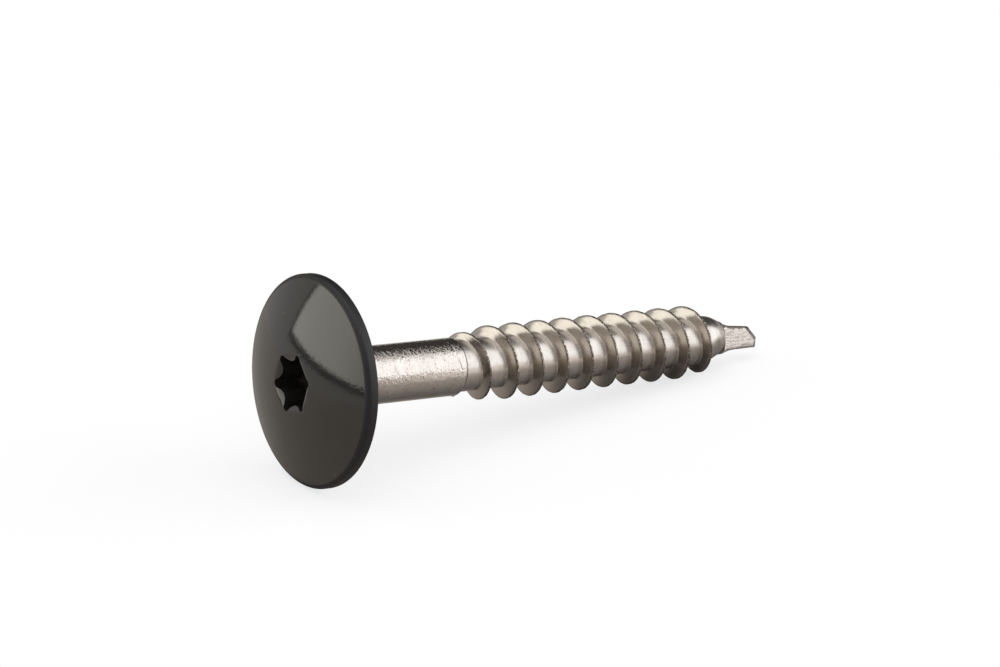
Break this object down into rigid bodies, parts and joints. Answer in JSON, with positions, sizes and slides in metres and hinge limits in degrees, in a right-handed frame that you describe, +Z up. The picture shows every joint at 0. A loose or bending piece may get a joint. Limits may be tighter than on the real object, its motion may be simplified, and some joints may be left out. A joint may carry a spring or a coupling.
{
  "type": "facade screw",
  "caption": "Stainless facade screw with a wide low-domed painted head, six-lobe recess, plain shank, coarse thread and flattened bevelled point, lying on its head's rim and its thread",
  "frame": {"origin": "Middle of the lying screw's bounding box, on the surface that it lies on.", "axes": "+X runs from the head towards the point, level; +Z is up. The screw's own axis falls towards the point, because the head's rim and the thread both touch the surface."},
  "size_m": [0.04, 0.0142, 0.0141],
  "materials": {
    "stainless_steel": "bare, dull satin with fine drawing marks",
    "head_paint": "dark warm grey, glossy, on the head only"
  },
  "bodies": {
    "root": {"screw": "stainless_steel"}
  },
  "joints": []
}
